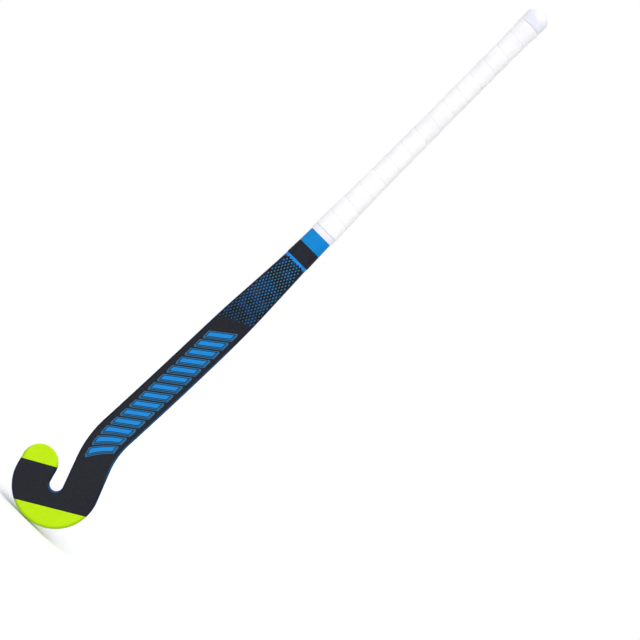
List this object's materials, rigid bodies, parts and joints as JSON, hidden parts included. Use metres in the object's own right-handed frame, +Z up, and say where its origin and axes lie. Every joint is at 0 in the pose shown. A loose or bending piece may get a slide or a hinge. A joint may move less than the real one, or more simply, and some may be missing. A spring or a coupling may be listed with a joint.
{
  "type": "field hockey stick",
  "caption": "Composite field hockey stick with a hooked head, a flat playing face, a rounded back and a taped handle.",
  "frame": {"origin": "on the handle's axis, 200 mm below the top of the butt, where a hand holds the grip", "axes": "+Z up the handle towards the butt; the flat playing face looks towards -Y and the rounded back towards +Y; the toe of the hook points towards -X"},
  "size_m": [0.1157, 0.0554, 0.9268],
  "materials": {
    "shell_paint": "satin lacquer over printed laminate",
    "face_paint": "matt fine-grained coat",
    "lime_paint": "satin lacquer",
    "inner_laminate": "raw carbon laminate",
    "foam": "rigid foam",
    "cap_rubber": "smooth soft rubber",
    "under_wrap": "thin foam wrap",
    "grip_tape": "soft perforated polyurethane tape",
    "finishing_tape": "stretch tape",
    "black_film": "satin printed film"
  },
  "bodies": {
    "root": {"outer_shell": "shell_paint", "face_layer": "face_paint", "toe_coat": "lime_paint", "heel_coat": "lime_paint", "core_tube_toe_side": "inner_laminate", "core_tube_heel_side": "inner_laminate", "central_web": "inner_laminate", "foam_core_toe_side": "foam", "foam_core_heel_side": "foam", "head_core": "foam", "handle_plug": "foam", "butt_cap": "cap_rubber", "cushion_wrap": "under_wrap", "grip_tape": "grip_tape", "finishing_tape": "finishing_tape", "blue_collar_band": "shell_paint", "black_collar_band": "black_film"}
  },
  "joints": []
}
